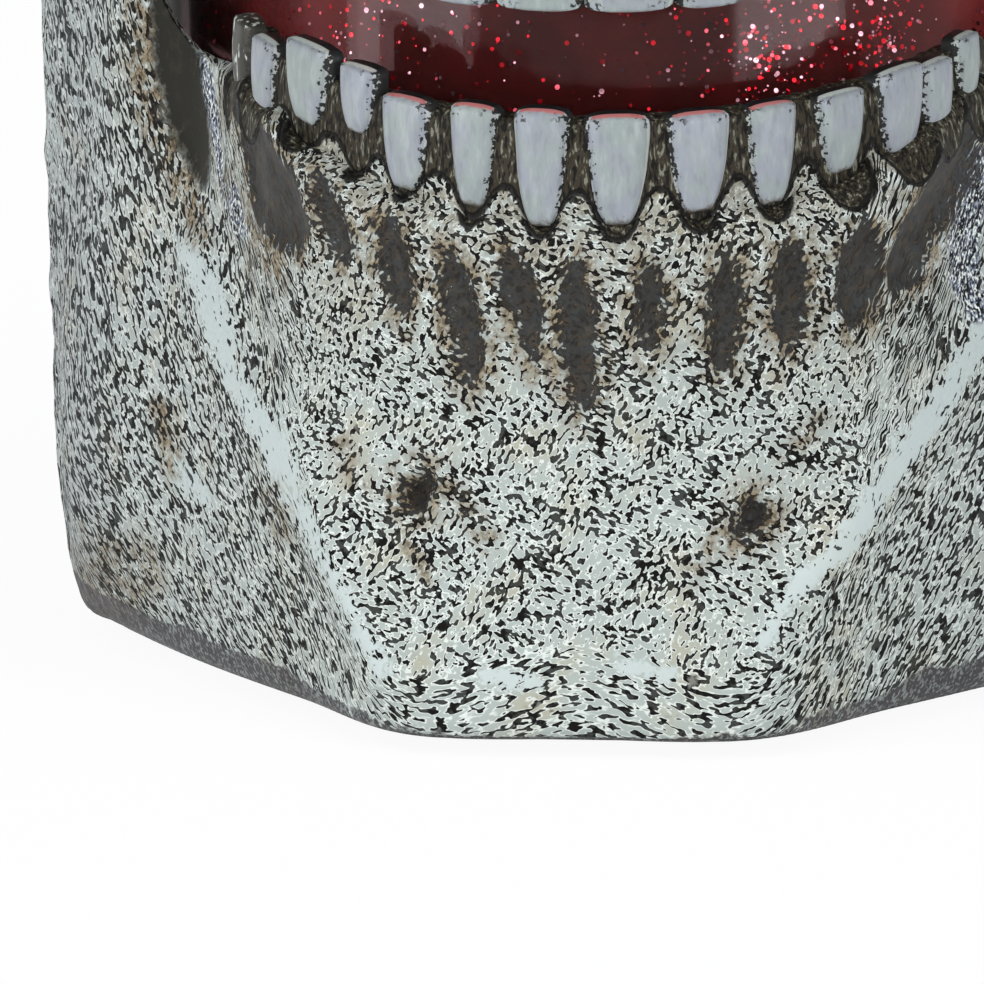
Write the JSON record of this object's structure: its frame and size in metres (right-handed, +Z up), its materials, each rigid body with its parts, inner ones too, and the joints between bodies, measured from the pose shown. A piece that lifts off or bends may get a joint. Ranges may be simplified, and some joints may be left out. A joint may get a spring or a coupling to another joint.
{
  "type": "table skull lantern",
  "caption": "Tabletop skull decoration in weathered bone finish, open jaw with teeth, and a red liquid glitter globe lit and stirred inside the head.",
  "frame": {"origin": "on the table, under the middle of the skull's outer box", "axes": "+Z up; the face looks along -Y; +X is the skull's left-hand side seen from the front as right"},
  "size_m": [0.1572, 0.1997, 0.2685],
  "materials": {
    "bone": "cast resin painted as pale weathered bone with dark pores, satin",
    "enamel": "cast resin painted pale blue-grey, satin gloss",
    "housing": "moulded dark brown-grey plastic, fine texture",
    "base": "moulded dark purple-grey plastic",
    "globe": "clear red-tinted glass",
    "fluid": "dark red liquid with red and white glitter flakes",
    "rubber": "soft black rubber",
    "plastic": "moulded off-white plastic",
    "steel": "zinc-plated steel",
    "magnet": "sintered magnet, matt grey",
    "board": "green circuit board lacquer",
    "lamp": "clear lamp lens",
    "cell": "plain dark battery sleeve",
    "wire": "red wire insulation"
  },
  "bodies": {
    "root": {"face_shell": "bone", "back_shell": "bone", "lower_jaw": "bone", "lower_teeth": "enamel", "upper_teeth": "enamel", "neck_housing": "housing", "base_plate": "base", "globe": "globe", "glitter_fluid": "fluid", "globe_cushion": "rubber", "stopper_seal": "rubber", "globe_stopper": "plastic", "motor_mount": "plastic", "switch_body": "plastic", "impeller_pin": "steel", "motor": "steel", "door_hinge_pin": "steel", "contact_left": "steel", "contact_right": "steel", "led_board": "board", "battery_1": "cell", "battery_2": "cell", "battery_3": "cell", "wire_switch_feed": "wire", "wire_board_feed": "wire", "wire_board_return": "wire", "shell_screw_1": "steel", "shell_screw_2": "steel", "shell_screw_3": "steel", "shell_screw_4": "steel", "jaw_screw_1": "steel", "jaw_screw_2": "steel", "jaw_screw_3": "steel", "jaw_screw_4": "steel", "housing_screw_1": "steel", "housing_screw_2": "steel", "housing_screw_3": "steel", "housing_screw_4": "steel", "led_1": "lamp", "led_2": "lamp", "led_3": "lamp", "led_4": "lamp", "foot_1": "rubber", "foot_2": "rubber", "foot_3": "rubber", "foot_4": "rubber"},
    "battery_door": {"battery_door": "housing"},
    "switch_knob": {"switch_knob": "plastic"},
    "drive_magnet": {"drive_magnet": "magnet"},
    "impeller": {"impeller": "plastic"}
  },
  "joints": [
    {"name": "battery_door_hinge", "type": "hinge", "parent": "root", "child": "battery_door", "pos_m": [0, 0.0478, 0.0076], "axis": [-1, 0, 0], "range_deg": [0, 90]},
    {"name": "switch_slide", "type": "slide", "parent": "root", "child": "switch_knob", "axis": [1, 0, 0], "range_m": [0, 0.006]},
    {"name": "drive_magnet_spin", "type": "hinge", "parent": "root", "child": "drive_magnet", "pos_m": [0, -0.01, 0.035], "axis": [0, 0, 1], "continuous": true},
    {"name": "impeller_spin", "type": "hinge", "parent": "root", "child": "impeller", "pos_m": [0, -0.01, 0.052], "axis": [0, 0, 1], "continuous": true}
  ],
  "couplings": [
    {"joint": "impeller_spin", "follows": "drive_magnet_spin", "ratio": 1}
  ]
}
